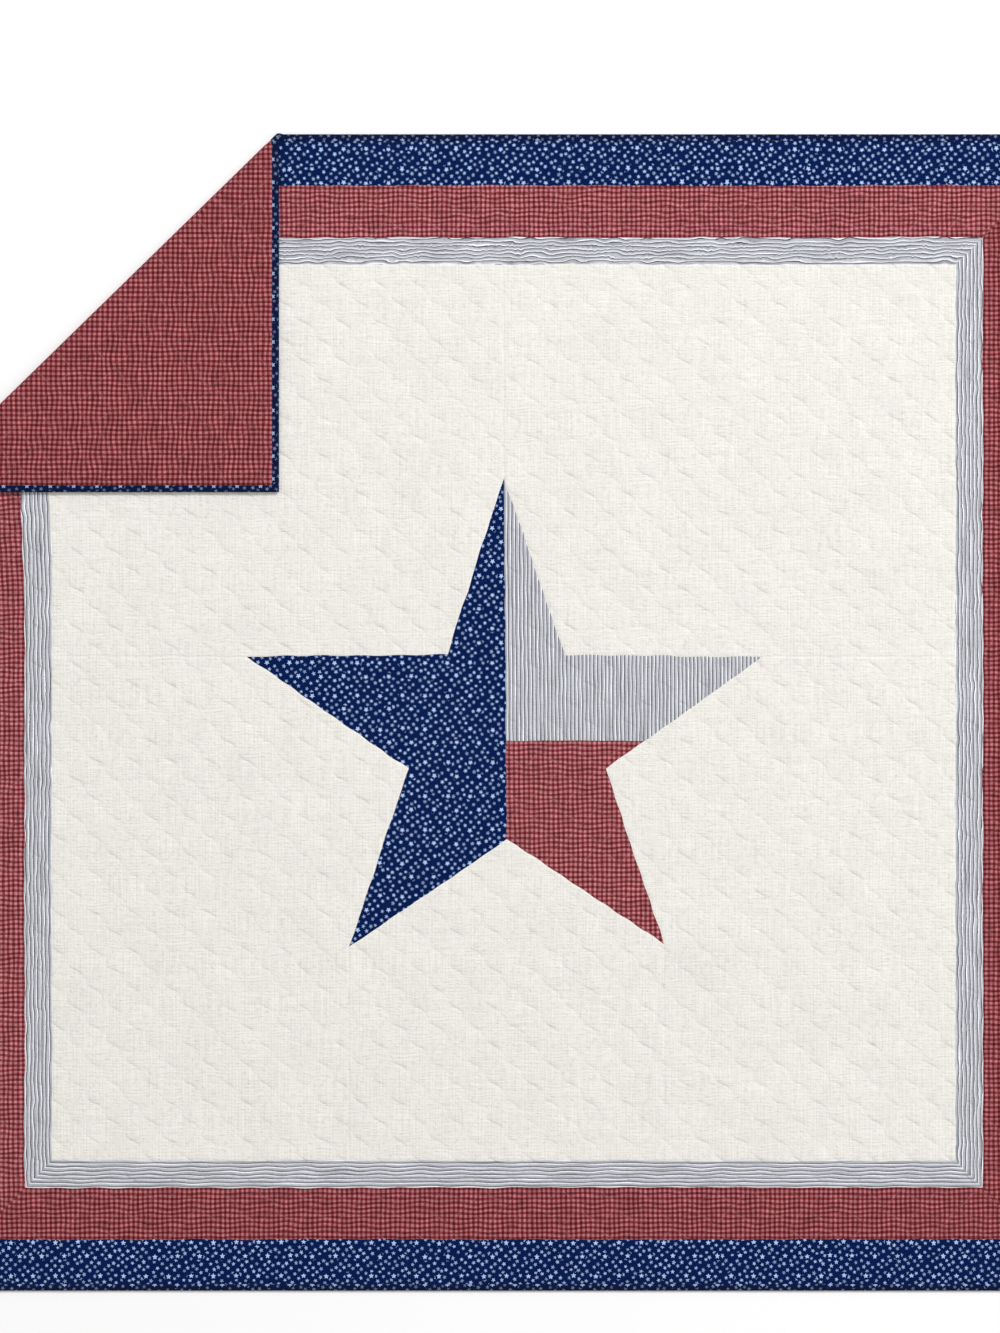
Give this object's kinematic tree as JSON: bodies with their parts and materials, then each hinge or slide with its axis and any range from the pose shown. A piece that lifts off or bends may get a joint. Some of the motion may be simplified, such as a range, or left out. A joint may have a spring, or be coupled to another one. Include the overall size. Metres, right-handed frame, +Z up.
{
  "type": "star quilt blanket",
  "caption": "Square pieced quilt with a large star, bordered and bound, lying flat with one corner folded over onto its face.",
  "frame": {"origin": "under the middle of the box that the folded quilt fills, at the level it lies on", "axes": "+Z up, out of the quilt's face; +Y to its top edge; +X to its right edge as its face is seen"},
  "size_m": [2.3136, 2.2884, 0.018],
  "materials": {
    "quilted_cloth": "quilted woven cotton, matt, pieced in cream, navy print, ticking and red gingham",
    "binding_cloth": "woven cotton, matt, navy with small white stars"
  },
  "bodies": {
    "root": {"quilt_body": "quilted_cloth", "binding": "binding_cloth"}
  },
  "joints": []
}
